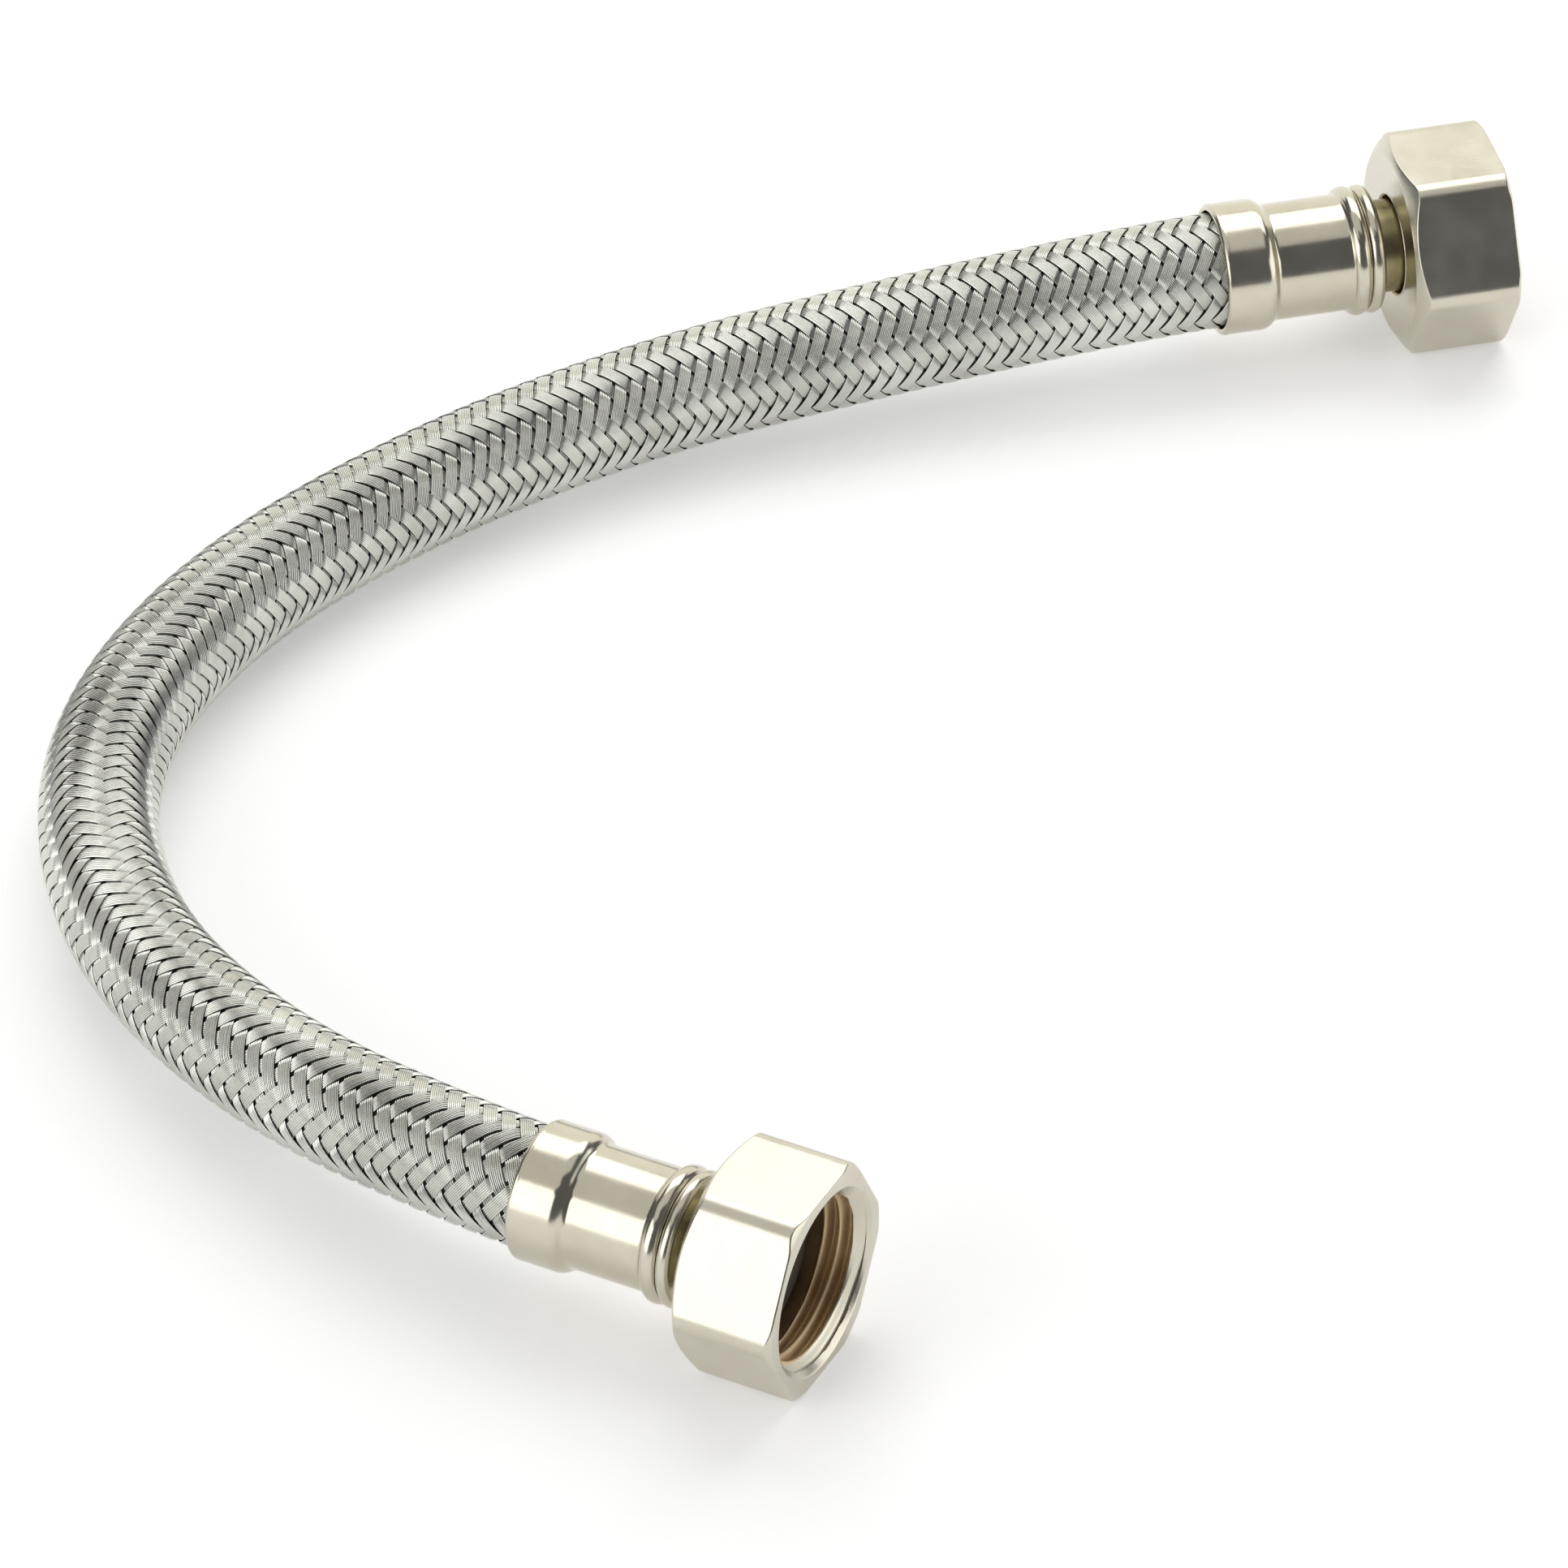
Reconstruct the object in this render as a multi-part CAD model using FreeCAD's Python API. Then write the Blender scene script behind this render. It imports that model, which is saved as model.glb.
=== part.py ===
import FreeCAD, Part
import math
import os

# Braided flexible water supply line with a swivel nut on each end.
# Millimetres. X and Y lie in the surface that the line rests on, Z is up.
# Origin: middle of the bounding box, on the resting surface.
os.makedirs("parts", exist_ok=True)
V = FreeCAD.Vector

# ---------------------------------------------------------------- driving sizes
HOSE_OD = 14.0            # over the wire braid
BRAID_T = 0.5             # thickness of the braid
LINER_ID = 8.2            # bore of the rubber liner
SURFACE_Z = 0.0           # the surface that the line lies on

NUT_AF = 24.0             # across flats of the swivel nut
NUT_LEN = 12.7
NUT_CORNER_R = 2.6        # rounding along the six corners
NUT_REAR_CHAMFER_R = 11.3 # radius where the 30 degree rear chamfer starts
NUT_FRONT_CHAMFER_R = 12.6 # the front one only breaks the corners
NUT_LIP_T = 2.2           # thickness of the inward lip at the back of the nut
NUT_HOLE_R = 6.0          # hole in that lip, round the neck of the insert
NUT_RELIEF_R = 10.4       # unthreaded room for the flange and the washer
NUT_RELIEF_END = 7.6      # from the rear face
THREAD_MINOR_R = 18.631 / 2   # G1/2, 14 threads per inch
THREAD_MAJOR_R = 20.955 / 2
MOUTH_R = 10.9            # thread lead-in at the mouth
MOUTH_CHAMFER = 0.9

FERRULE_R = 7.95          # loose bell of the ferrule, over the hose's mouth
CRIMP_R = 7.05            # crimped barrel
BEAD_R = 7.85             # rolled bead at the nut's side
FERRULE_T = 0.6
BELL_END = 4.95           # the bell's straight length, from the lip
SHOULDER_R = 1.8          # rounding from the bell into the shoulder's 45 degree slope
SHOULDER_FILLET_R = 0.8   # and from the slope into the barrel
BARREL_START = 6.93
BARREL_END = 16.0
FERRULE_LEN = 18.0
GROOVE_R = 5.2            # groove of the insert that holds the ferrule

COLLAR_R = 7.8
COLLAR_LEN = 1.7
NECK_R = 5.6
FLANGE_R = 8.9
FLANGE_T = 1.7
WATERWAY_R = 3.0          # bore of the insert
TAIL_R = 4.1              # tail of the insert, in the liner
BARB_R = 4.55
TAIL_START = 1.5
HOSE_END = 15.5           # how far the hose reaches into the ferrule

WASHER_R = 9.0
WASHER_BORE_R = 5.4
WASHER_T = 2.0

NUT_START = 22.2          # rear face of the nut, from the lip, nut pulled forward
AXIS_Z = NUT_AF / 2       # the nuts lie on a flat

# ------------------------------------------------------------------- the route
# Points of the hose's centreline, from its end in the inlet ferrule to its end
# in the outlet ferrule. The first and last runs lie on the fittings' axes.
ORIGIN = (1.6945, -4.1955)
INLET_LIP = (-26.549, -88.098)
INLET_DIR = -27.3         # degrees from +X, out of the inlet nut's mouth
OUTLET_LIP = (51.252, 86.065)
OUTLET_DIR = 14.0
RUN_OUT = 6.0             # straight run beyond the lip
MIDDLE = [
    (-57.30, -64.71, 9.50),
    (-75.06, -36.99, 7.57),
    (-79.14, -5.23, 7.00),
    (-67.12, 23.65, 7.00),
    (-44.25, 47.56, 7.11),
    (-16.76, 64.94, 8.15),
    (13.68, 75.75, 9.93),
]


def unit(degrees):
    a = math.radians(degrees)
    return V(math.cos(a), math.sin(a), 0)


def at(xy, z=AXIS_Z):
    return V(xy[0] - ORIGIN[0], xy[1] - ORIGIN[1], z)


ENDS = {
    "inlet": (at(INLET_LIP), unit(INLET_DIR)),
    "outlet": (at(OUTLET_LIP), unit(OUTLET_DIR)),
}


def route():
    lip_a, dir_a = ENDS["inlet"]
    lip_b, dir_b = ENDS["outlet"]
    points = [lip_a + dir_a * HOSE_END, lip_a - dir_a * RUN_OUT]
    points += [at(p[:2], p[2]) for p in MIDDLE]
    points += [lip_b - dir_b * RUN_OUT, lip_b + dir_b * HOSE_END]
    return points


ROUTE = route()


def runs_and_arcs(points):
    """Straight runs joined by tangent arcs: ('line', a, b) and ('arc', a, m, b, centre, normal, angle)."""
    pieces, radii, start = [], [], points[0]
    for i in range(1, len(points) - 1):
        before, after = points[i] - points[i - 1], points[i + 1] - points[i]
        turn = before.getAngle(after)
        reach = 0.45 * min(before.Length, after.Length)
        radius = reach / math.tan(turn / 2)
        radii.append((radius, math.degrees(turn)))
        u, w = V(before).normalize(), V(after).normalize()
        a, b = points[i] - u * reach, points[i] + w * reach
        normal = u.cross(w).normalize()
        centre = a + normal.cross(u) * radius
        out = (points[i] - centre).normalize()
        pieces.append(("line", start, a))
        pieces.append(("arc", a, centre + out * radius, b, centre, normal, math.degrees(turn)))
        start = b
    pieces.append(("line", start, points[-1]))
    return pieces, radii


def path_wire(pieces):
    edges = []
    for p in pieces:
        if p[0] == "line":
            edges.append(Part.LineSegment(p[1], p[2]).toShape())
        else:
            edges.append(Part.Arc(p[1], p[2], p[3]).toShape())
    return Part.Wire(edges)


def ring_face(centre, direction, outer, inner):
    disc = Part.Face(Part.Wire(Part.makeCircle(outer, centre, direction)))
    hole = Part.Face(Part.Wire(Part.makeCircle(inner, centre, direction)))
    return disc.cut(hole).Faces[0]


def tube(pieces, outer, inner):
    """A hollow tube along the runs and arcs, one cylinder or torus piece for each, joined."""
    solids = []
    for p in pieces:
        if p[0] == "line":
            along = p[2] - p[1]
            solids.append(ring_face(p[1], along, outer, inner).extrude(along))
        else:
            a, m, b, centre, normal, angle = p[1:]
            tangent = normal.cross(a - centre)
            solids.append(ring_face(a, tangent, outer, inner).revolve(centre, normal, angle))
    whole = solids[0].fuse(solids[1:]) if len(solids) > 1 else solids[0]
    return whole.removeSplitter()


# --------------------------------------------------------------- turned shapes
def turned(points):
    """A turned solid from (radius, station) corners; ('arc', (r, s) through, (r, s) to) makes an arc."""
    edges, last = [], V(points[0][0], 0, points[0][1])
    first = last
    for p in points[1:]:
        if p[0] == "arc":
            through, to = V(p[1][0], 0, p[1][1]), V(p[2][0], 0, p[2][1])
            edges.append(Part.Arc(last, through, to).toShape())
            last = to
        else:
            to = V(p[0], 0, p[1])
            edges.append(Part.LineSegment(last, to).toShape())
            last = to
    if (last - first).Length > 1e-6:
        edges.append(Part.LineSegment(last, first).toShape())
    face = Part.Face(Part.Wire(edges))
    return face.revolve(V(0, 0, 0), V(0, 0, 1), 360)


def put(shape, lip, direction):
    """From the fitting's own frame, Z along its axis from the ferrule's lip, to its place."""
    up = V(0, 0, 1)
    side = direction.cross(up)
    m = FreeCAD.Matrix(
        up.x, side.x, direction.x, lip.x,
        up.y, side.y, direction.y, lip.y,
        up.z, side.z, direction.z, lip.z,
        0, 0, 0, 1,
    )
    placed = shape.copy()
    placed.transformShape(m)
    return placed


def ferrule():
    t = FERRULE_T
    s2, c2 = math.sin(math.pi / 8), math.cos(math.pi / 8)
    s4, c4 = math.sin(math.pi / 4), math.cos(math.pi / 4)
    return turned([
        (7.15, 0.25),
        ("arc", (7.27, 0.05), (7.5, 0.0)),
        ("arc", (7.83, 0.18), (FERRULE_R, 0.75)),
        (FERRULE_R, BELL_END),
        ("arc", (FERRULE_R - SHOULDER_R * (1 - c2), BELL_END + SHOULDER_R * s2),
         (FERRULE_R - SHOULDER_R * (1 - c4), BELL_END + SHOULDER_R * s4)),
        (CRIMP_R + SHOULDER_FILLET_R * (1 - c4), BARREL_START - SHOULDER_FILLET_R * s4),
        ("arc", (CRIMP_R + SHOULDER_FILLET_R * (1 - c2), BARREL_START - SHOULDER_FILLET_R * s2),
         (CRIMP_R, BARREL_START)),
        (CRIMP_R, BARREL_END - 0.35),
        ("arc", (CRIMP_R + 0.10, BARREL_END - 0.08), (CRIMP_R + 0.35, BARREL_END + 0.05)),
        ("arc", (BEAD_R, BARREL_END + 0.95), (CRIMP_R + 0.30, FERRULE_LEN)),
        (GROOVE_R, FERRULE_LEN),
        (GROOVE_R, FERRULE_LEN - 1.3),
        (CRIMP_R - t, FERRULE_LEN - 1.3),
        (CRIMP_R - t, BARREL_START + 0.3),
        (FERRULE_R - t, BELL_END - 0.2),
        (FERRULE_R - t, 0.75),
        ("arc", (7.24, 0.5), (7.15, 0.25)),
    ])


def collar():
    s0, s1 = FERRULE_LEN, FERRULE_LEN + COLLAR_LEN
    c = 0.55
    return turned([
        (NECK_R, s0),
        (COLLAR_R - c, s0),
        ("arc", (COLLAR_R, (s0 + s1) / 2), (COLLAR_R - c, s1)),
        (NECK_R, s1),
    ])


def insert():
    flange_back = NUT_START + NUT_LIP_T + 0.1
    front = flange_back + FLANGE_T
    points = [(WATERWAY_R, TAIL_START), (TAIL_R - 0.35, TAIL_START), (TAIL_R, TAIL_START + 0.5)]
    s = TAIL_START + 1.2
    for k in range(4):                     # barbs that lean towards the nut
        points += [(TAIL_R, s), (BARB_R, s + 2.0), (BARB_R, s + 2.3), (TAIL_R, s + 2.4)]
        s += 3.1
    points += [
        (TAIL_R, HOSE_END + 0.1),
        (NECK_R, HOSE_END + 0.1),
        (NECK_R, FERRULE_LEN - 1.3),
        (GROOVE_R, FERRULE_LEN - 1.3),
        (GROOVE_R, FERRULE_LEN),
        (NECK_R, FERRULE_LEN),
        (NECK_R, flange_back),
        (FLANGE_R - 0.2, flange_back),
        (FLANGE_R, flange_back + 0.2),
        (FLANGE_R, front - 0.2),
        (FLANGE_R - 0.2, front),
        (WATERWAY_R + 0.5, front),
        (WATERWAY_R, front - 0.5),
    ]
    return turned(points)


def washer():
    s0 = NUT_START + NUT_LIP_T + 0.1 + FLANGE_T + 0.05
    c = 0.15
    return turned([
        (WASHER_BORE_R, s0), (WASHER_R - c, s0), (WASHER_R, s0 + c),
        (WASHER_R, s0 + WASHER_T - c), (WASHER_R - c, s0 + WASHER_T), (WASHER_BORE_R, s0 + WASHER_T),
    ])


def nut():
    s0, s1 = NUT_START, NUT_START + NUT_LEN
    corner_r = NUT_AF / math.sqrt(3)
    # The flats are square to the frame's X, so one of them lies on the surface.
    ring = [V(corner_r * math.cos(math.radians(30 + 60 * k)), corner_r * math.sin(math.radians(30 + 60 * k)), s0)
            for k in range(7)]
    prism = Part.Face(Part.makePolygon(ring)).extrude(V(0, 0, NUT_LEN))
    upright = [e for e in prism.Edges if abs(e.Vertexes[0].Z - e.Vertexes[-1].Z) > NUT_LEN / 2]
    prism = prism.makeFillet(NUT_CORNER_R, upright)
    slope = math.tan(math.radians(30))
    reach = corner_r + 1
    turned_outside = turned([
        (0, s0),
        (NUT_REAR_CHAMFER_R, s0),
        (reach, s0 + (reach - NUT_REAR_CHAMFER_R) * slope),
        (reach, s1 - (reach - NUT_FRONT_CHAMFER_R) * slope),
        (NUT_FRONT_CHAMFER_R, s1),
        (0, s1),
    ])
    inside = turned([
        (0, s0 - 1),
        (NUT_HOLE_R + 0.3, s0 - 1),
        (NUT_HOLE_R + 0.3, s0),
        (NUT_HOLE_R, s0 + 0.3),
        (NUT_HOLE_R, s0 + NUT_LIP_T),
        (NUT_RELIEF_R, s0 + NUT_LIP_T),
        (NUT_RELIEF_R, s0 + NUT_RELIEF_END - 0.6),
        (THREAD_MINOR_R, s0 + NUT_RELIEF_END),
        (THREAD_MINOR_R, s1 - MOUTH_CHAMFER),
        (MOUTH_R, s1),
        (MOUTH_R, s1 + 1),
        (0, s1 + 1),
    ])
    return prism.common(turned_outside).cut(inside).removeSplitter()


def hose_end_ring(outer, crimped_outer, inner, crimped_inner):
    """The hose's layer inside a ferrule: full size under the bell, squeezed under the barrel."""
    return turned([
        (inner, BELL_END), (outer, BELL_END),
        (crimped_outer, BARREL_START + 0.1), (crimped_outer, HOSE_END),
        (crimped_inner, HOSE_END), (crimped_inner, BARREL_START + 0.1),
    ])


def layer(outer, inner, squeeze_outer, squeeze_inner):
    """One layer of the hose from end to end."""
    pieces, _ = runs_and_arcs(ROUTE)
    pieces = list(pieces)
    # The tube proper ends under each bell; turned rings carry on under the barrels.
    pieces[0] = ("line", ENDS["inlet"][0] + ENDS["inlet"][1] * BELL_END, pieces[0][2])
    pieces[-1] = ("line", pieces[-1][1], ENDS["outlet"][0] + ENDS["outlet"][1] * BELL_END)
    whole = tube(pieces, outer, inner)
    ring = hose_end_ring(outer, squeeze_outer, inner, squeeze_inner)
    for name in ENDS:
        whole = whole.fuse(put(ring, *ENDS[name]))
    return whole.removeSplitter()


def save(name, shape):
    if shape.ShapeType == "Compound" and len(shape.Solids) == 1:
        shape = shape.Solids[0]
    if not shape.isValid() or len(shape.Solids) != 1:
        print("PROBLEM", name, "valid", shape.isValid(), "solids", len(shape.Solids))
    shape.exportStep("parts/" + name + ".step")
    b = shape.BoundBox
    print("%-16s volume %9.1f  box %7.2f %7.2f %7.2f to %7.2f %7.2f %7.2f" % (
        name, shape.Volume, b.XMin, b.YMin, b.ZMin, b.XMax, b.YMax, b.ZMax))
    return shape


pieces, radii = runs_and_arcs(ROUTE)
print("arc radii:", ", ".join("%.0f (turn %.0f)" % r for r in radii))
wire = path_wire(pieces)
print("length of the hose's centreline %.1f" % wire.Length)

BRAID_R = HOSE_OD / 2
LINER_R = BRAID_R - BRAID_T
CRIMP_IN = CRIMP_R - FERRULE_T
shapes = {}
shapes["braid_sleeve"] = layer(BRAID_R, LINER_R, CRIMP_IN, CRIMP_IN - BRAID_T)
liner = layer(LINER_R, LINER_ID / 2, CRIMP_IN - BRAID_T, LINER_ID / 2)
shapes["inner_liner"] = liner
straight = math.pi * (BRAID_R ** 2 - LINER_R ** 2) * (wire.Length - 2 * (HOSE_END - BELL_END))
for name in ENDS:
    shapes[name + "_ferrule"] = put(ferrule(), *ENDS[name])
    shapes[name + "_collar"] = put(collar(), *ENDS[name])
    shapes[name + "_insert"] = put(insert(), *ENDS[name])
    shapes[name + "_washer"] = put(washer(), *ENDS[name])
    shapes[name + "_nut"] = put(nut(), *ENDS[name])
for name in ENDS:
    # The barbs press into the liner's bore.
    shapes["inner_liner"] = shapes["inner_liner"].cut(shapes[name + "_insert"])
whole = None
for name, shape in shapes.items():
    shape = save(name, shape)
    b = shape.BoundBox
    if whole is None:
        whole = b
    else:
        whole.add(b)
ends = math.pi * (BRAID_R ** 2 - LINER_R ** 2) * 2 * (HOSE_END - BELL_END)
print("braid: section times length %.0f between the barrels' rings" % straight)
print("box %.3f %.3f %.3f to %.3f %.3f %.3f, middle %.3f %.3f" % (
    whole.XMin, whole.YMin, whole.ZMin, whole.XMax, whole.YMax, whole.ZMax,
    (whole.XMin + whole.XMax) / 2, (whole.YMin + whole.YMax) / 2))
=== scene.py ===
import math

import bpy
import numpy as np
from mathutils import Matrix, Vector


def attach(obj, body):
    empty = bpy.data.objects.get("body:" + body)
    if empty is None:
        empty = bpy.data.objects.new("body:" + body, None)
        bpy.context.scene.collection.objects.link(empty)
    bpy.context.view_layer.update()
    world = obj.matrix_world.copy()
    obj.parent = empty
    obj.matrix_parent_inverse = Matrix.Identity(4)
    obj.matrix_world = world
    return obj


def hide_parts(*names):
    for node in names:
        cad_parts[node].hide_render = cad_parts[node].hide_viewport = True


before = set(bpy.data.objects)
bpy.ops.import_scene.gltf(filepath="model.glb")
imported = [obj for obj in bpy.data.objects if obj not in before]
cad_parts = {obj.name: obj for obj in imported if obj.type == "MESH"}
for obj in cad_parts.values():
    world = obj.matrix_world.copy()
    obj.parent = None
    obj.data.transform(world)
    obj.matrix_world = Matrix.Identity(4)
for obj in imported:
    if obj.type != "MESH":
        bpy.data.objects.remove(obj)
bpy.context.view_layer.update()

MM = 0.001
scene = bpy.context.scene
scene.view_settings.view_transform = "Standard"
scene.view_settings.look = "None"

# ------------------------------------------------------------------ camera
cam_data = bpy.data.cameras.new("camera")
cam_data.lens = 270.2
cam_data.sensor_width = 36.0
cam_data.clip_start, cam_data.clip_end = 0.05, 20.0
cam = bpy.data.objects.new("camera", cam_data)
scene.collection.objects.link(cam)
cam.location = (-0.0016945, -1.0701665, 0.8155)
cam.rotation_euler = (math.radians(52.8), 0.0, 0.0)
scene.camera = cam

# ------------------------------------------------------------- driving sizes, mm
AXIS_Z = 12.0
LINER_R = 6.45
LINER_BORE_R = 4.1
ORIGIN = (1.6945, -4.1955)
INLET_LIP, INLET_DIR = (-26.549, -88.098), -27.3
OUTLET_LIP, OUTLET_DIR = (51.252, 86.065), 14.0
RUN_OUT = 6.0
INSIDE = 3.0          # the spline starts this far inside each ferrule's mouth
MIDDLE = [
    (-57.30, -64.71, 9.50),
    (-75.06, -36.99, 7.57),
    (-79.14, -5.23, 7.00),
    (-67.12, 23.65, 7.00),
    (-44.25, 47.56, 7.11),
    (-16.76, 64.94, 8.15),
    (13.68, 75.75, 9.93),
]

NUT_AF, NUT_LEN, NUT_START = 24.0, 12.7, 22.2
NUT_CORNER_R = 2.6
NUT_REAR_CHAMFER_R, NUT_FRONT_CHAMFER_R = 11.3, 12.6
NUT_LIP_T, NUT_HOLE_R = 2.2, 6.0
NUT_RELIEF_R, NUT_RELIEF_END = 10.4, 7.6
THREAD_MINOR_R, THREAD_MAJOR_R, THREAD_PITCH = 18.631 / 2, 20.955 / 2, 25.4 / 14
MOUTH_R, MOUTH_CHAMFER = 10.9, 0.9
FERRULE_R, CRIMP_R, BEAD_R, FERRULE_T = 7.95, 7.05, 7.85, 0.6
BELL_END, BARREL_START, BARREL_END, FERRULE_LEN = 4.95, 6.93, 16.0, 18.0
SHOULDER_R, SHOULDER_FILLET_R = 1.8, 0.8
GROOVE_R, COLLAR_R, COLLAR_LEN, NECK_R = 5.2, 7.8, 1.7, 5.6
FLANGE_R, FLANGE_T, WATERWAY_R = 8.9, 1.7, 3.0
TAIL_R, BARB_R, TAIL_START, HOSE_END = 4.1, 4.55, 1.5, 15.5
WASHER_R, WASHER_BORE_R, WASHER_T = 9.0, 5.4, 2.0

# The braid: carriers each way, and what one carrier lays.
CARRIERS = 12
LEAD = 26.4
WIRES = 7
WIRE_D = 0.21
BRAID_MID_R = 6.715
WAVE = 0.11
BRAID_PHASE = math.radians(8.0)


def at(x, y, z=AXIS_Z):
    return np.array(((x - ORIGIN[0]) * MM, (y - ORIGIN[1]) * MM, z * MM))


def unit(degrees):
    a = math.radians(degrees)
    return np.array((math.cos(a), math.sin(a), 0.0))


ENDS = {
    "inlet": (at(*INLET_LIP), unit(INLET_DIR)),
    "outlet": (at(*OUTLET_LIP), unit(OUTLET_DIR)),
}


def control_points():
    (lip_a, dir_a), (lip_b, dir_b) = ENDS["inlet"], ENDS["outlet"]
    points = [lip_a + dir_a * INSIDE * MM, lip_a - dir_a * RUN_OUT * MM]
    points += [at(*p) for p in MIDDLE]
    points += [lip_b - dir_b * RUN_OUT * MM, lip_b + dir_b * INSIDE * MM]
    return points


def spline_line(points):
    """The points of one NURBS spline through the route's control points."""
    curve = bpy.data.curves.new("route", "CURVE")
    curve.dimensions = "3D"
    curve.resolution_u = 90
    s = curve.splines.new("NURBS")
    s.points.add(len(points) - 1)
    for p, co in zip(s.points, points):
        p.co = (*co, 1.0)
    s.order_u = 3
    s.use_endpoint_u = True
    bare = bpy.data.objects.new("route", curve)
    mesh = bpy.data.meshes.new_from_object(bare)
    line = np.array([v.co for v in mesh.vertices], float)
    bpy.data.meshes.remove(mesh)
    bpy.data.objects.remove(bare)
    bpy.data.curves.remove(curve)
    return line


LINE = spline_line(control_points())
ALONG = np.concatenate([[0], np.cumsum(np.linalg.norm(np.diff(LINE, axis=0), axis=1))])
LENGTH = float(ALONG[-1])
TANGENT = np.gradient(LINE, ALONG, axis=0)
TANGENT /= np.linalg.norm(TANGENT, axis=1)[:, None]
UP = np.array((0.0, 0.0, 1.0))
NORMAL = UP - (TANGENT @ UP)[:, None] * TANGENT
NORMAL /= np.linalg.norm(NORMAL, axis=1)[:, None]
SIDE = np.cross(TANGENT, NORMAL)


def along_hose(s, angle, radius):
    """Places (distance along the centreline, angle from the top, radius), all in metres and radians."""
    out = np.empty(s.shape + (3,))
    c, n = np.empty(s.shape), np.empty(s.shape)
    cos, sin = radius * np.cos(angle), radius * np.sin(angle)
    for k in range(3):
        c = np.interp(s, ALONG, LINE[:, k])
        n = np.interp(s, ALONG, NORMAL[:, k])
        b = np.interp(s, ALONG, SIDE[:, k])
        out[..., k] = c + cos * n + sin * b
    return out


# ------------------------------------------------------------------ meshes
def build(name, parts):
    """A mesh object from grids. Each grid is a dict: P (n, m, 3) points, wrap (the first and last rings join) or
    end caps, uu (n + 1) and vv (m + 1) for the UV map, and optional sharp (m) lines and slots (m) of faces."""
    co, corner, start, uvs, sharp, slots = [], [], [], [], [], []
    base, loop = 0, 0
    for g in parts:
        P, wrap = g["P"], g.get("wrap", True)
        n, m, _ = P.shape
        ni = n if wrap else n - 1
        i, j = np.meshgrid(np.arange(ni), np.arange(m), indexing="ij")
        i2, j2 = (i + 1) % n, (j + 1) % m
        quads = np.stack([i * m + j, i2 * m + j, i2 * m + j2, i * m + j2], -1).reshape(-1, 4)
        uu, vv = np.asarray(g["uu"]), np.asarray(g["vv"])
        uv = np.stack([
            np.stack([uu[i], vv[j]], -1), np.stack([uu[i + 1], vv[j]], -1),
            np.stack([uu[i + 1], vv[j + 1]], -1), np.stack([uu[i], vv[j + 1]], -1),
        ], 2).reshape(-1, 4, 2)
        flat = P.reshape(-1, 3)
        mid = flat.mean(0)
        a, b, c, d = (flat[quads[:, k]] - mid for k in range(4))
        volume = (a * np.cross(b, c)).sum() + (a * np.cross(c, d)).sum()
        flip = volume < 0
        if flip:
            quads, uv = quads[:, ::-1], uv[:, ::-1]
        co.append(flat)
        corner.append((quads + base).ravel())
        uvs.append(uv.reshape(-1, 2))
        start.append(loop + 4 * np.arange(len(quads)))
        loop += 4 * len(quads)
        slot = np.asarray(g.get("slots", np.zeros(m, int)))
        slots.append(np.tile(slot, ni))
        if not wrap:
            for ring, turn in ((0, not flip), (n - 1, flip)):
                cap = ring * m + np.arange(m)
                cap = cap[::-1] if not turn else cap
                # the cap faces away from its neighbour ring
                corner.append(cap[::-1] + base)
                uvs.append(np.full((m, 2), (uu[0 if ring == 0 else -1], vv[0])))
                start.append(np.array([loop]))
                slots.append(np.array([slot[0]]))
                loop += m
        if "sharp" in g:
            cols = np.nonzero(np.asarray(g["sharp"]))[0]
            sharp.append((base, n, m, cols))
        base += len(flat)
    co, corner = np.concatenate(co), np.concatenate(corner)
    start, uvs, slots = np.concatenate(start), np.concatenate(uvs), np.concatenate(slots)
    mesh = bpy.data.meshes.new(name)
    mesh.vertices.add(len(co))
    mesh.vertices.foreach_set("co", co.astype(np.float32).ravel())
    mesh.loops.add(len(corner))
    mesh.loops.foreach_set("vertex_index", corner.astype(np.int32))
    mesh.polygons.add(len(start))
    mesh.polygons.foreach_set("loop_start", start.astype(np.int32))
    mesh.polygons.foreach_set("material_index", slots.astype(np.int32))
    mesh.update(calc_edges=True)
    layer = mesh.uv_layers.new(name="OFBake")
    layer.data.foreach_set("uv", uvs.astype(np.float32).ravel())
    mesh.polygons.foreach_set("use_smooth", np.ones(len(start), bool))
    if sharp:
        e = np.empty(len(mesh.edges) * 2, np.int32)
        mesh.edges.foreach_get("vertices", e)
        e = e.reshape(-1, 2)
        hard = np.zeros(len(e), bool)
        for first, n, m, cols in sharp:
            inside = (e[:, 0] >= first) & (e[:, 0] < first + n * m)
            p, q = (e[:, 0] - first) % m, (e[:, 1] - first) % m
            hard |= inside & (p == q) & np.isin(p, cols)
        attribute = mesh.attributes.get("sharp_edge") or mesh.attributes.new("sharp_edge", "BOOLEAN", "EDGE")
        attribute.data.foreach_set("value", hard)
    mesh.validate()
    ob = bpy.data.objects.new(name, mesh)
    scene.collection.objects.link(ob)
    return ob


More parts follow.
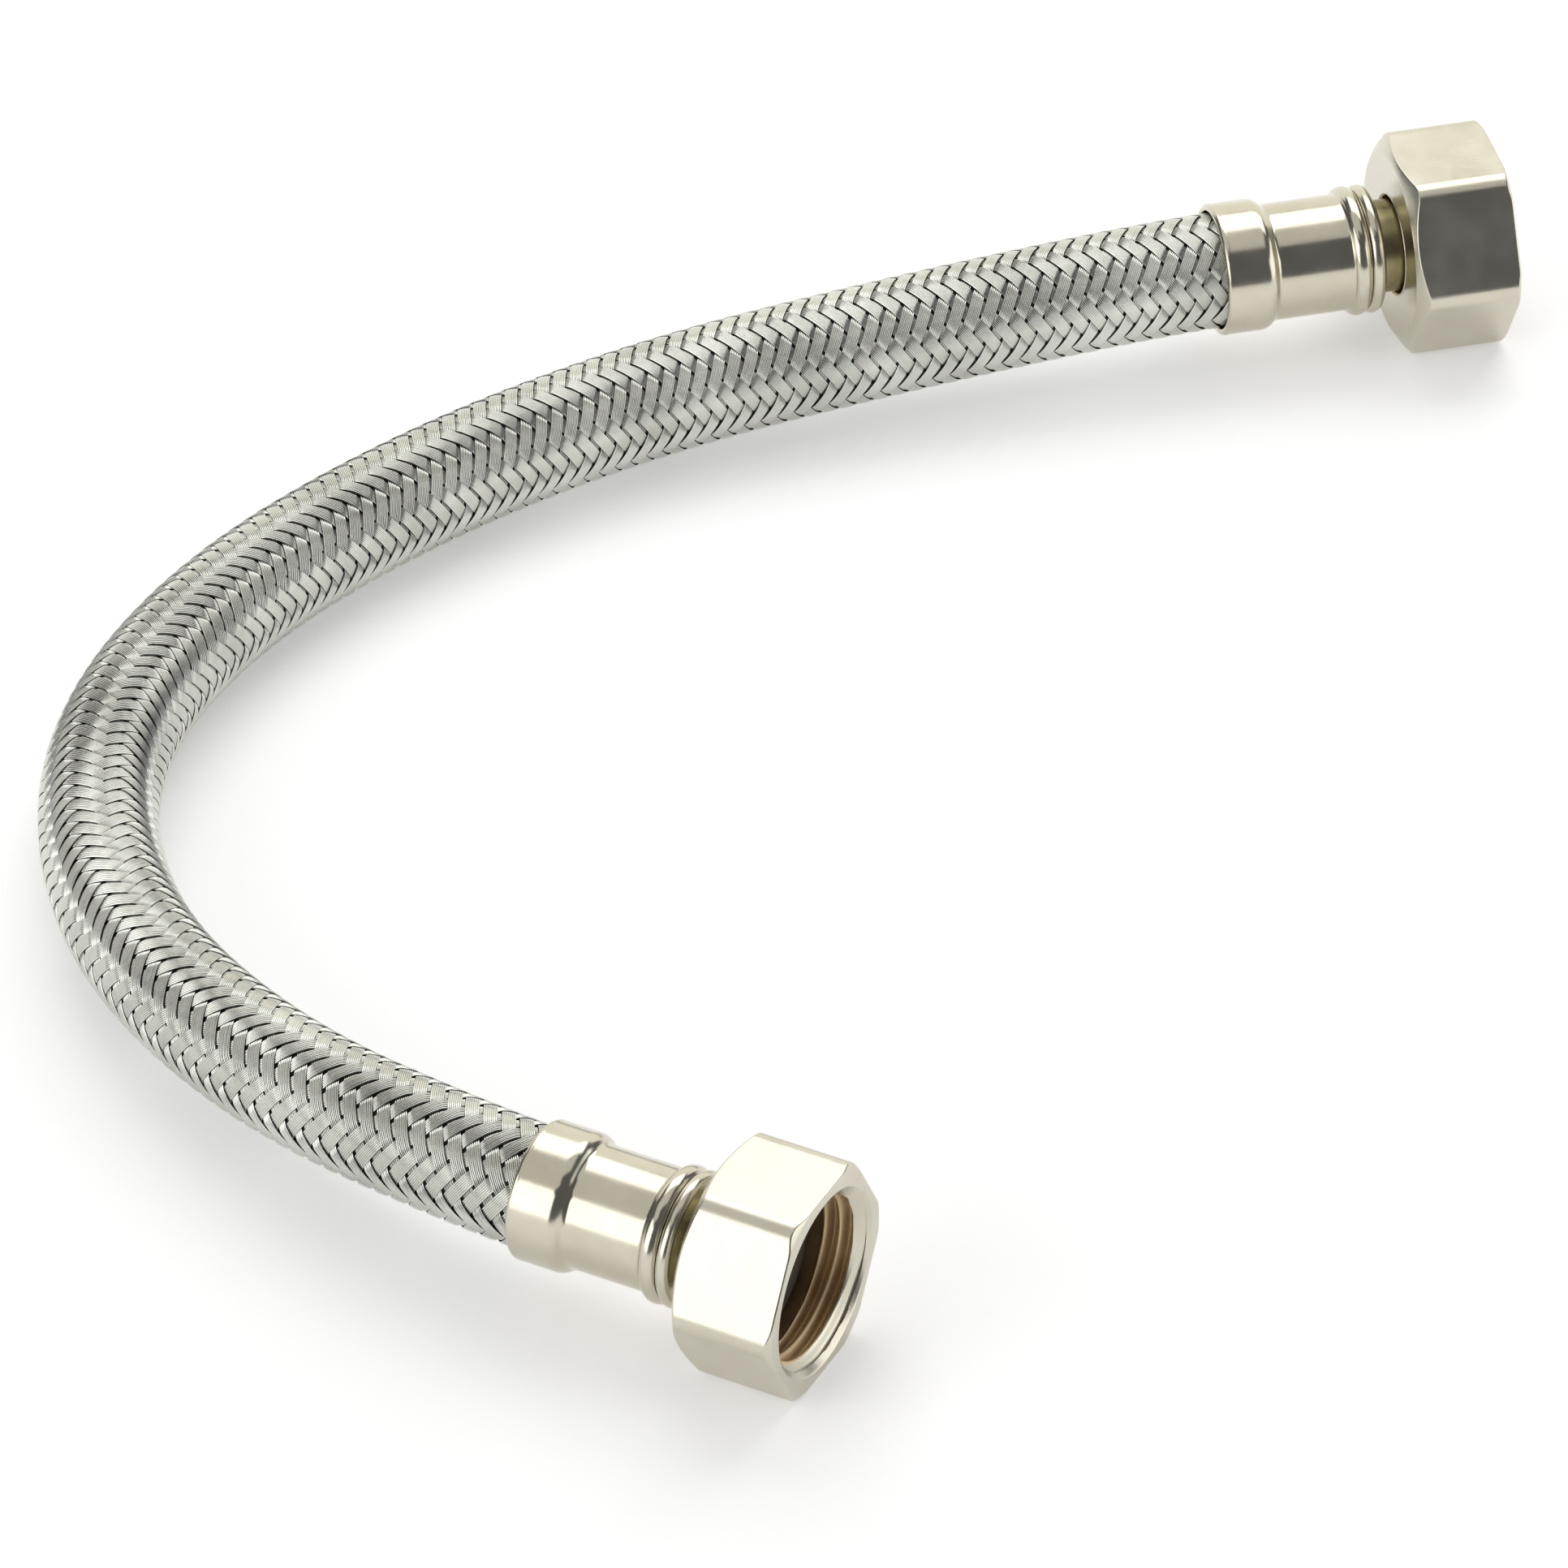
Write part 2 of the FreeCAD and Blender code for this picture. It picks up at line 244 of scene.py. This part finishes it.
def arc3(a, through, b, n=6):
    """Points of the arc from a through a point to b, without a itself."""
    (ax, ay), (mx, my), (bx, by) = a, through, b
    d = 2 * (ax * (my - by) + mx * (by - ay) + bx * (ay - my))
    if abs(d) < 1e-9:
        return [(ax + (bx - ax) * k / n, ay + (by - ay) * k / n) for k in range(1, n + 1)]
    a2, m2, b2 = ax * ax + ay * ay, mx * mx + my * my, bx * bx + by * by
    cx = (a2 * (my - by) + m2 * (by - ay) + b2 * (ay - my)) / d
    cy = (a2 * (bx - mx) + m2 * (ax - bx) + b2 * (mx - ax)) / d
    r = math.hypot(ax - cx, ay - cy)
    t0, tm, t1 = (math.atan2(y - cy, x - cx) for x, y in (a, through, b))
    ccw = (tm - t0) % (2 * math.pi) < (t1 - t0) % (2 * math.pi)
    sweep = (t1 - t0) % (2 * math.pi) if ccw else -((t0 - t1) % (2 * math.pi))
    return [(cx + r * math.cos(t0 + sweep * k / n), cy + r * math.sin(t0 + sweep * k / n)) for k in range(1, n + 1)]


def rounded(points, n=4, beside=0.05):
    """Rounds the corners of a closed profile. points are (r, s, radius); a point with radius 0 stays as it is.
    A line is added just beside each rounding, so that the long faces shade flat."""
    out = []
    count = len(points)
    for k in range(count):
        r, s, rho = points[k]
        p = np.array((r, s), float)
        if rho <= 0:
            out.append((r, s))
            continue
        a = np.array(points[k - 1][:2], float) - p
        b = np.array(points[(k + 1) % count][:2], float) - p
        la, lb = np.linalg.norm(a), np.linalg.norm(b)
        a, b = a / la, b / lb
        half = math.acos(max(-1, min(1, float(a @ b)))) / 2      # half the inside angle
        reach = min(rho / math.tan(half), 0.42 * la, 0.42 * lb)
        rho = reach * math.tan(half)
        middle = p + (a + b) / np.linalg.norm(a + b) * (rho / math.sin(half))
        start, end = p + a * reach, p + b * reach
        turn = math.pi - 2 * half
        u, w = start - middle, end - middle
        if la - reach > 3 * beside:
            out.append(tuple(start + a * beside))
        for i in range(n + 1):
            t = i / n
            v = (math.sin((1 - t) * turn) * u + math.sin(t * turn) * w) / math.sin(turn)
            out.append(tuple(middle + v))
        if lb - reach > 3 * beside:
            out.append(tuple(end + b * beside))
    return out


def lengths(profile):
    """0 to 1 along a closed profile, one value more than it has points."""
    p = np.array(list(profile) + [profile[0]], float)
    l = np.concatenate([[0], np.cumsum(np.linalg.norm(np.diff(p, axis=0), axis=1))])
    return l / l[-1]


def placed(r, s, angle, end):
    """Points of a fitting, from radius, station along its axis and angle from the top, in mm and radians."""
    lip, direction = ENDS[end]
    side = np.cross(direction, UP)
    r, s, angle = np.broadcast_arrays(r, s, angle)
    return (
        lip + (s * MM)[..., None] * direction
        + (r * MM * np.cos(angle))[..., None] * UP
        + (r * MM * np.sin(angle))[..., None] * side
    )


def turned(name, profile, end, segments=160, slots=None):
    """A turned closed shape."""
    p = np.array(profile, float)
    angle = np.arange(segments) * 2 * math.pi / segments
    grid = placed(p[None, :, 0], p[None, :, 1], angle[:, None], end)
    part = {"P": grid, "wrap": True, "uu": np.arange(segments + 1) / segments, "vv": lengths(profile)}
    if slots is not None:
        part["slots"] = slots
    ob = build(name, [part])
    ob.data.set_sharp_from_angle(angle=math.radians(38))
    return ob


# ------------------------------------------------------------------ materials
def material(name):
    m = bpy.data.materials.new(name)
    m.use_nodes = True
    nt = m.node_tree
    return m, nt, nt.nodes["Principled BSDF"]


def add(nt, kind, **values):
    n = nt.nodes.new(kind)
    for key, value in values.items():
        if key.startswith("in_"):
            n.inputs[key[3:].replace("_", " ")].default_value = value
        else:
            setattr(n, key, value)
    return n


def ramp(nt, source, stops):
    n = nt.nodes.new("ShaderNodeValToRGB")
    e = n.color_ramp.elements
    while len(e) < len(stops):
        e.new(0.5)
    for x, (position, colour) in zip(e, stops):
        x.position = position
        x.color = (*colour, 1) if len(colour) == 3 else colour
    nt.links.new(source, n.inputs["Fac"])
    return n.outputs["Color"]


def ranged(nt, source, low, high, from_low=0.0, from_high=1.0):
    n = nt.nodes.new("ShaderNodeMapRange")
    n.inputs["From Min"].default_value = from_low
    n.inputs["From Max"].default_value = from_high
    n.inputs["To Min"].default_value = low
    n.inputs["To Max"].default_value = high
    nt.links.new(source, n.inputs["Value"])
    return n.outputs["Result"]


def plated(name, light, dark, rough, lines=(0.0, 0.0), line_depth=0.0, grain=0.0):
    """Polished plate: a tint that drifts a little, cloudy gloss, and fine lines left by the tool.
    lines is how many cross the map along u and along v."""
    m, nt, p = material(name)
    where = add(nt, "ShaderNodeTexCoord")
    cloud = add(nt, "ShaderNodeTexNoise", in_Scale=190.0, in_Detail=3.0, in_Roughness=0.55)
    nt.links.new(where.outputs["Object"], cloud.inputs["Vector"])
    fine = add(nt, "ShaderNodeTexNoise", in_Scale=1400.0, in_Detail=4.0, in_Roughness=0.6)
    nt.links.new(where.outputs["Object"], fine.inputs["Vector"])
    nt.links.new(ramp(nt, cloud.outputs["Fac"], [(0.3, dark), (0.68, light)]), p.inputs["Base Color"])
    nt.links.new(ranged(nt, cloud.outputs["Fac"], rough[0], rough[1], 0.3, 0.7), p.inputs["Roughness"])
    p.inputs["Metallic"].default_value = 1.0
    height = fine.outputs["Fac"]
    bump = add(nt, "ShaderNodeBump", in_Strength=1.0, in_Distance=grain)
    nt.links.new(height, bump.inputs["Height"])
    last = bump
    if line_depth:
        uv = add(nt, "ShaderNodeUVMap", uv_map="OFBake")
        stretch = add(nt, "ShaderNodeMapping")
        stretch.inputs["Scale"].default_value = (lines[0], lines[1], 1.0)
        nt.links.new(uv.outputs["UV"], stretch.inputs["Vector"])
        scratches = add(nt, "ShaderNodeTexNoise", noise_dimensions="2D", in_Scale=1.0, in_Detail=5.0, in_Roughness=0.7)
        nt.links.new(stretch.outputs["Vector"], scratches.inputs["Vector"])
        cut = add(nt, "ShaderNodeBump", in_Strength=1.0, in_Distance=line_depth)
        nt.links.new(scratches.outputs["Fac"], cut.inputs["Height"])
        nt.links.new(bump.outputs["Normal"], cut.inputs["Normal"])
        last = cut
    nt.links.new(last.outputs["Normal"], p.inputs["Normal"])
    return m


def steel_wire():
    m, nt, p = material("braid_wire")
    where = add(nt, "ShaderNodeTexCoord")
    cloud = add(nt, "ShaderNodeTexNoise", in_Scale=60.0, in_Detail=3.0, in_Roughness=0.6)
    nt.links.new(where.outputs["Object"], cloud.inputs["Vector"])
    fine = add(nt, "ShaderNodeTexNoise", in_Scale=900.0, in_Detail=2.0, in_Roughness=0.5)
    nt.links.new(where.outputs["Object"], fine.inputs["Vector"])
    both = add(nt, "ShaderNodeMath", operation="MULTIPLY_ADD")
    both.inputs[1].default_value = 0.22
    nt.links.new(fine.outputs["Fac"], both.inputs[0])
    half = add(nt, "ShaderNodeMath", operation="MULTIPLY")
    half.inputs[1].default_value = 0.78
    nt.links.new(cloud.outputs["Fac"], half.inputs[0])
    nt.links.new(half.outputs["Value"], both.inputs[2])
    nt.links.new(
        ramp(nt, both.outputs["Value"], [(0.30, (0.47, 0.475, 0.43)), (0.52, (0.64, 0.645, 0.59)), (0.7, (0.77, 0.775, 0.72))]),
        p.inputs["Base Color"],
    )
    nt.links.new(ranged(nt, both.outputs["Value"], 0.14, 0.24, 0.3, 0.7), p.inputs["Roughness"])
    p.inputs["Metallic"].default_value = 1.0
    return m


def rubber(name, colour, speck, rough, scale, depth):
    m, nt, p = material(name)
    where = add(nt, "ShaderNodeTexCoord")
    grain = add(nt, "ShaderNodeTexNoise", in_Scale=scale, in_Detail=5.0, in_Roughness=0.65)
    nt.links.new(where.outputs["Object"], grain.inputs["Vector"])
    nt.links.new(ramp(nt, grain.outputs["Fac"], [(0.35, colour), (0.75, speck)]), p.inputs["Base Color"])
    nt.links.new(ranged(nt, grain.outputs["Fac"], rough[0], rough[1], 0.3, 0.7), p.inputs["Roughness"])
    bump = add(nt, "ShaderNodeBump", in_Strength=1.0, in_Distance=depth)
    nt.links.new(grain.outputs["Fac"], bump.inputs["Height"])
    nt.links.new(bump.outputs["Normal"], p.inputs["Normal"])
    return m


M_FERRULE = plated("ferrule_nickel", (0.63, 0.595, 0.495), (0.575, 0.535, 0.43), (0.12, 0.20), (5.0, 900.0), 0.0000035, 0.0000012)
M_NUT = plated("nut_nickel", (0.63, 0.60, 0.505), (0.58, 0.545, 0.445), (0.17, 0.27), (420.0, 6.0), 0.00001, 0.0000015)
M_NUT_INSIDE = plated("nut_thread_brass", (0.86, 0.68, 0.44), (0.66, 0.50, 0.30), (0.46, 0.62), (6.0, 500.0), 0.000004, 0.000003)
# The insert's brass is darkened far below brass's own tone: painted shade for its neck, seen in the shaded gap between
# the collar and the nut.
M_INSERT_PAINTED_SHADE = plated("insert_brass_painted_shade", (0.33, 0.295, 0.165), (0.23, 0.20, 0.11), (0.20, 0.34), (4.0, 900.0), 0.000004, 0.0000015)
M_BRAID = steel_wire()
M_LINER = rubber("liner_rubber", (0.012, 0.012, 0.011), (0.03, 0.03, 0.028), (0.55, 0.75), 900.0, 0.00001)
M_WASHER = rubber("washer_rubber", (0.075, 0.060, 0.045), (0.13, 0.105, 0.08), (0.5, 0.7), 1500.0, 0.00001)

# ------------------------------------------------------------------ the braid
HALF = CARRIERS * 2                      # crossings that one carrier makes in one turn
CELL = 2 * math.pi / HALF
SPACING = 2 * math.pi * BRAID_MID_R / CARRIERS * math.cos(math.atan(2 * math.pi * BRAID_MID_R / LEAD))
random = np.random.default_rng(7)


def weave(x):
    """Height of a carrier that passes over two and under two, from -1 to 1 and a little more in mid-float."""
    x = (x + 0.5) % 4
    under = x >= 2
    t = np.where(under, x - 2, x)                      # 0 to 2 within the float
    edge = np.clip(np.minimum(t, 2 - t) / 0.24, 0, 1)
    crown = 0.50 * np.cos(np.clip((t - 1) / 0.76, -1, 1) * math.pi / 2)
    h = np.sin(edge * math.pi / 2) + crown
    return np.where(under, -h, h)


def drawn_out(s):
    """The braid lies a little looser over the first third of the hose. s is the even position, in mm."""
    return s + 0.08 * (s - 14.0 * np.logaddexp(0.0, (s - 88.0) / 14.0))


def wander(x, size, seeds):
    """A slow random drift along a carrier."""
    total = 0.0
    for f, phase in seeds:
        total = total + np.sin(x * f + phase)
    return size * total / len(seeds)


def section():
    """Across one carrier: for each point, offset in mm, height in mm, wire; the last three close the underside."""
    across, height, wire = [], [], []
    r = WIRE_D / 2
    for w in range(WIRES):
        c = (w - (WIRES - 1) / 2) * WIRE_D
        for a in (-90, -30, 30):
            across.append(c + r * math.sin(math.radians(a)))
            height.append(r * math.cos(math.radians(a)))
            wire.append(w)
    across.append(WIRES * r)
    height.append(0.0)
    wire.append(WIRES - 1)
    for x in (0.42, 0.0, -0.42):
        across.append(x * WIRES * WIRE_D)
        height.append(-0.9 * r)
        wire.append(int(round((x + 0.5) * (WIRES - 1))))
    return np.array(across), np.array(height), np.array(wire)


def carrier(index, way, rank, ranks):
    """One carrier's flat band of wires, from end to end of the hose."""
    # Positions along, measured in crossings: close together where the band dives, further apart on its floats.
    steps = np.array([-0.24, -0.12, 0.0, 0.12, 0.24, 0.62, 1.0, 1.38])
    reach = int(LENGTH / (LEAD * MM) * HALF / 2) + HALF
    cycles = np.arange(-reach if way < 0 else -2, reach)
    x = (cycles[:, None] * 2 + 1.5 + steps[None, :]).ravel()
    across, height, wire = section()
    seeds = [(random.uniform(0.05, 0.5), random.uniform(0, 6.28)) for _ in range(4)]
    wire_seeds = [[(random.uniform(0.2, 1.1), random.uniform(0, 6.28)) for _ in range(3)] for _ in range(WIRES)]
    other = x - index
    s = drawn_out(way * (other - index) / HALF * LEAD)
    keep = (s >= -0.6) & (s <= LENGTH / MM + 0.6)
    other = other[keep]
    own = index + across[None, :] / SPACING + wander(other[:, None], 0.035, seeds)
    jitter = np.stack([wander(other, 1.0, wire_seeds[w]) for w in range(WIRES)], 1)[:, wire]
    own = own + 0.010 * jitter
    lattice_s = drawn_out(way * (other[:, None] - own) / HALF * LEAD)
    angle = (other[:, None] + own) * CELL
    lift = way * weave(other + index)[:, None]
    # the band's edges lie a little lower than its middle
    crown = -0.036 * (across[None, :] / (WIRES * WIRE_D / 2)) ** 2
    radius = BRAID_MID_R + WAVE * lift + height[None, :] + crown + 0.006 * np.roll(jitter, 1, axis=1)
    s_m = np.clip(lattice_s * MM, 0.0, LENGTH)
    P = along_hose(s_m, angle + BRAID_PHASE, radius * MM)
    n, m = P.shape[:2]
    sharp = np.zeros(m, bool)
    sharp[[3 * k for k in range(WIRES + 1)]] = True
    vv = rank / ranks + (np.arange(m + 1) / m) * (0.9 / ranks)
    return {"P": P, "wrap": False, "uu": np.linspace(0.001, 0.999, n + 1)[:n + 1], "vv": vv, "sharp": sharp}


PER_PIECE = 3
for way in (1, -1):
    for first in range(0, CARRIERS, PER_PIECE):
        parts = [carrier(first + k, way, k, PER_PIECE) for k in range(PER_PIECE)]
        piece = build("braid_%s_%d" % ("left" if way > 0 else "right", first // PER_PIECE + 1), parts)
        piece.data.materials.append(M_BRAID)
        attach(piece, "hose")
        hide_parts("braid_sleeve")

# the rubber liner under it
rings = 420
s_line = np.linspace(0, LENGTH, rings)
around = np.arange(64) * 2 * math.pi / 64
outer = along_hose(np.repeat(s_line[:, None], 64, 1), np.repeat(around[None, :], rings, 0), LINER_R * MM)
inner = along_hose(np.repeat(s_line[:, None], 64, 1), np.repeat(around[None, :], rings, 0), LINER_BORE_R * MM)
tube = np.concatenate([outer, inner[::-1]], 0)       # out along the outside and back along the bore
liner = build("liner_tube", [{
    "P": tube, "wrap": True,
    "uu": np.arange(2 * rings + 1) / (2 * rings), "vv": np.arange(65) / 64,
}])
liner.data.set_sharp_from_angle(angle=math.radians(50))
liner.data.materials.append(M_LINER)
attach(liner, "hose")
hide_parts("inner_liner")


# ------------------------------------------------------------------ fittings
def ferrule_profile():
    t = FERRULE_T
    p = [(7.15, 0.25)]
    p += arc3(p[-1], (7.27, 0.05), (7.5, 0.0), 4)
    p += arc3(p[-1], (7.83, 0.18), (FERRULE_R, 0.75), 6)
    p += [(FERRULE_R, 0.80), (FERRULE_R, BELL_END - 0.05), (FERRULE_R, BELL_END)]
    s2, c2, s4, c4 = math.sin(math.pi / 8), math.cos(math.pi / 8), math.sin(math.pi / 4), math.cos(math.pi / 4)
    p += arc3(p[-1], (FERRULE_R - SHOULDER_R * (1 - c2), BELL_END + SHOULDER_R * s2),
              (FERRULE_R - SHOULDER_R * (1 - c4), BELL_END + SHOULDER_R * s4), 10)
    p += [(CRIMP_R + SHOULDER_FILLET_R * (1 - c4), BARREL_START - SHOULDER_FILLET_R * s4)]
    p += arc3(p[-1], (CRIMP_R + SHOULDER_FILLET_R * (1 - c2), BARREL_START - SHOULDER_FILLET_R * s2), (CRIMP_R, BARREL_START), 7)
    p += [(CRIMP_R, BARREL_START + 0.05), (CRIMP_R, BARREL_END - 0.40), (CRIMP_R, BARREL_END - 0.35)]
    p += arc3(p[-1], (CRIMP_R + 0.10, BARREL_END - 0.08), (CRIMP_R + 0.35, BARREL_END + 0.05), 5)
    p += arc3(p[-1], (BEAD_R, BARREL_END + 0.95), (CRIMP_R + 0.30, FERRULE_LEN - 0.02), 12)
    p += [(CRIMP_R, FERRULE_LEN - 0.02), (GROOVE_R, FERRULE_LEN - 0.02), (GROOVE_R, FERRULE_LEN - 1.3),
          (CRIMP_R - t, FERRULE_LEN - 1.3), (CRIMP_R - t, BARREL_START + 0.3), (FERRULE_R - t, BELL_END - 0.2),
          (FERRULE_R - t, 0.75)]
    p += arc3(p[-1], (7.24, 0.5), (7.15, 0.25), 3)[:-1]
    return p


def collar_profile():
    s0, s1, c = FERRULE_LEN + 0.02, FERRULE_LEN + COLLAR_LEN, 0.55
    p = [(NECK_R, s0), (COLLAR_R - c - 0.05, s0), (COLLAR_R - c, s0)]
    p += arc3(p[-1], (COLLAR_R, (s0 + s1) / 2), (COLLAR_R - c, s1), 10)
    p += [(COLLAR_R - c - 0.05, s1), (NECK_R, s1)]
    return p


def insert_profile():
    back = NUT_START + NUT_LIP_T + 0.1
    front = back + FLANGE_T
    p = [(WATERWAY_R, TAIL_START, 0.1), (TAIL_R - 0.35, TAIL_START, 0.1), (TAIL_R, TAIL_START + 0.5, 0.1)]
    s = TAIL_START + 1.2
    for k in range(4):
        p += [(TAIL_R, s, 0), (BARB_R, s + 2.0, 0.05), (BARB_R, s + 2.3, 0.05), (TAIL_R, s + 2.4, 0)]
        s += 3.1
    p += [(TAIL_R, HOSE_END + 0.1, 0), (NECK_R, HOSE_END + 0.1, 0), (NECK_R, FERRULE_LEN - 1.3, 0),
          (GROOVE_R, FERRULE_LEN - 1.3, 0), (GROOVE_R, FERRULE_LEN, 0), (NECK_R, FERRULE_LEN, 0),
          (NECK_R, back, 0.12), (FLANGE_R, back, 0.2), (FLANGE_R, front, 0.2), (WATERWAY_R, front, 0.45)]
    return rounded(p)


def washer_profile():
    s0 = NUT_START + NUT_LIP_T + 0.1 + FLANGE_T + 0.05
    return rounded([(WASHER_BORE_R, s0, 0.12), (WASHER_R, s0, 0.2), (WASHER_R, s0 + WASHER_T, 0.2), (WASHER_BORE_R, s0 + WASHER_T, 0.12)])


def thread_radius(s, angle):
    """The nut's bore in its threaded length: a right-hand Whitworth form, cleared by the lead-in and the relief."""
    s1 = NUT_START + NUT_LEN
    depth = (THREAD_MAJOR_R - THREAD_MINOR_R) / 2
    turn = (s - THREAD_PITCH * angle / (2 * math.pi)) / THREAD_PITCH
    form = THREAD_MINOR_R + depth + depth * np.sin(2 * math.pi * turn)
    lead_in = MOUTH_R - (s1 - s) * (MOUTH_R - THREAD_MINOR_R) / 1.5
    run_out = THREAD_MINOR_R + (NUT_START + NUT_RELIEF_END - s) * 1.8
    return np.maximum(form, np.maximum(lead_in, run_out))


def hexagon(angle):
    """Distance from the axis to the outside, with the six corners rounded."""
    a = NUT_AF / 2
    off = (angle % (math.pi / 3)) - math.pi / 6          # from the nearest corner
    c, r = (a - NUT_CORNER_R) / math.cos(math.pi / 6), NUT_CORNER_R
    limit = math.pi / 6 - math.atan((a - r) * math.tan(math.pi / 6) / a)
    inside = np.clip(r * r - (c * np.sin(off)) ** 2, 0, None)
    return np.where(np.abs(off) < limit, c * np.cos(off) + np.sqrt(inside), a / np.cos(math.pi / 6 - np.abs(off)))


def nut_outside(r, s0, s1, rho=0.25):
    """The outside of the nut at one angle, where its wall is at radius r: rear face, cone, wall, cone, front face."""
    def edge(s_face, sign, chamfer_r, angles):
        # the two vertices of the outline shrunk by rho, and the arcs round them
        c0 = 0.5 * chamfer_r + math.cos(math.radians(30)) * s_face * sign - rho
        face = s_face * sign - rho
        wall = r - rho
        v1 = (wall, min(face, (c0 - 0.5 * wall) / math.cos(math.radians(30))))
        v2 = (min(wall, (c0 - math.cos(math.radians(30)) * face) / 0.5), face)
        out = []
        for k, a in angles:
            v = (v1, v2)[k]
            a = math.radians(a)
            out.append((v[0] + rho * math.cos(a), (v[1] + rho * math.sin(a)) * sign))
        return out
    order = [(0, 0), (0, 15), (0, 30), (0, 45), (0, 60), (1, 60), (1, 75), (1, 90)]
    rear = edge(s0, -1, NUT_REAR_CHAMFER_R, order[::-1])
    front = edge(s1, 1, NUT_FRONT_CHAMFER_R, order)
    bevel = 0.05
    rear = [(rear[0][0] - bevel, s0)] + rear + [(r, rear[-1][1] + bevel)]
    front = [(r, front[0][1] - bevel)] + front + [(front[-1][0] - bevel, s1)]
    middle = [(r, rear[-1][1] + (front[0][1] - rear[-1][1]) * k / 4) for k in (1, 2, 3)]
    return rear + middle + front


def nut(name, end):
    s0, s1 = NUT_START, NUT_START + NUT_LEN
    limit = math.degrees(math.pi / 6 - math.atan((NUT_AF / 2 - NUT_CORNER_R) * math.tan(math.pi / 6) / (NUT_AF / 2)))
    half = list(np.linspace(0, 30 - limit - 0.3, 10)) + list(30 - limit + limit * np.linspace(0, 1, 9))
    sector = half + [60 - x for x in half[::-1][1:-1]]
    angle = np.radians(np.array([60 * k + x for k in range(6) for x in sector]))
    h = hexagon(angle)
    rows = np.arange(s1 - 0.09, s0 + NUT_RELIEF_END - 0.6, -0.065)
    mouth = [(MOUTH_R + 0.13, s1), (MOUTH_R + 0.09, s1 - 0.005), (MOUTH_R + 0.03, s1 - 0.03), (MOUTH_R, s1 - 0.06)]
    lip = rounded([
        (NUT_RELIEF_R, rows[-1] - 0.1, 0), (NUT_RELIEF_R, s0 + NUT_LIP_T, 0.2), (NUT_HOLE_R, s0 + NUT_LIP_T, 0.1),
        (NUT_HOLE_R, s0 + 0.3, 0.1), (NUT_HOLE_R + 0.3, s0, 0.1),
    ])
    columns = []
    for a, r in zip(angle, h):
        outside = nut_outside(float(r), s0, s1)
        bore = [(float(thread_radius(s, a)), float(s)) for s in rows]
        columns.append(outside + mouth + bore + lip)
        plated_to = len(outside) + len(mouth) + int((MOUTH_CHAMFER + 0.7) / 0.065)
        inside_to = len(outside) + len(mouth) + len(bore) + len(lip) - 6
    p = np.array(columns, float)
    P = placed(p[..., 0], p[..., 1], angle[:, None], end)
    slots = np.zeros(p.shape[1], int)
    slots[plated_to:inside_to] = 1
    uu = np.concatenate([angle, [2 * math.pi]]) / (2 * math.pi)
    ob = build(name, [{"P": P, "wrap": True, "uu": uu, "vv": lengths([tuple(x) for x in p[0]]), "slots": slots}])
    ob.data.set_sharp_from_angle(angle=math.radians(50))
    ob.data.materials.append(M_NUT)
    ob.data.materials.append(M_NUT_INSIDE)
    return ob


for end in ENDS:
    for kind, profile, mat in (
        ("ferrule", ferrule_profile(), M_FERRULE),
        ("collar", collar_profile(), M_FERRULE),
        ("insert", insert_profile(), M_INSERT_PAINTED_SHADE),
        ("washer", washer_profile(), M_WASHER),
    ):
        ob = turned("%s_%s_turned" % (end, kind), profile, end)
        ob.data.materials.append(mat)
        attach(ob, end + "_seal" if kind == "washer" else "hose")
        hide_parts("%s_%s" % (end, kind))
    ob = nut(end + "_nut_threaded", end)
    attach(ob, end + "_union")
    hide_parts(end + "_nut")

# ------------------------------------------------------------------ studio
floor_mesh = bpy.data.meshes.new("floor")
floor_mesh.from_pydata([(-4, -4, 0), (4, -4, 0), (4, 4, 0), (-4, 4, 0)], [], [(0, 1, 2, 3)])
floor = bpy.data.objects.new("floor", floor_mesh)
scene.collection.objects.link(floor)
floor.location = (0, 0, -0.00002)
m, nt, p = material("paper")
p.inputs["Base Color"].default_value = (0.93, 0.93, 0.93, 1)
p.inputs["Roughness"].default_value = 0.9
p.inputs["Specular IOR Level"].default_value = 0.1
p.inputs["Emission Color"].default_value = (1.0, 1.0, 1.0, 1)
p.inputs["Emission Strength"].default_value = 0.29
floor_mesh.materials.append(m)


def softbox(name, where, towards, size, radiance, colour=(1, 1, 1)):
    """A rectangular lamp that gives that much light per area, whatever its size."""
    data = bpy.data.lights.new(name, "AREA")
    data.shape = "RECTANGLE"
    data.size, data.size_y = size
    data.energy = radiance * math.pi * size[0] * size[1]
    data.color = colour
    ob = bpy.data.objects.new(name, data)
    scene.collection.objects.link(ob)
    ob.location = where
    ob.rotation_euler = (Vector(towards) - Vector(where)).to_track_quat("-Z", "Y").to_euler()
    ob.visible_camera = False
    return ob


softbox("overhead", (0.20, 0.90, 1.10), (0.20, 0.90, 0.0), (1.5, 1.1), 2.1)
softbox("overhead_front", (0.20, -0.03, 1.10), (0.20, -0.03, 0.0), (0.75, 0.76), 0.60, (1.0, 0.985, 0.93))
softbox("overhead_left", (-0.65, -0.22, 1.10), (-0.65, -0.22, 0.0), (0.95, 1.14), 0.62, (1.0, 0.985, 0.93))
softbox("back", (0.0, 1.65, 0.55), (0.0, 0.0, 0.15), (3.4, 1.1), 1.02, (1.0, 0.975, 0.89))
softbox("left", (-0.83, -0.59, 0.40), (0.0, 0.0, 0.05), (0.95, 0.80), 1.95)
softbox("right", (1.13, -0.08, 0.32), (0.05, 0.09, 0.05), (1.2, 0.7), 1.5)

world = bpy.data.worlds.new("studio")
scene.world = world
world.use_nodes = True
world.node_tree.nodes["Background"].inputs["Color"].default_value = (0.93, 0.95, 1.0, 1)
world.node_tree.nodes["Background"].inputs["Strength"].default_value = 0.15
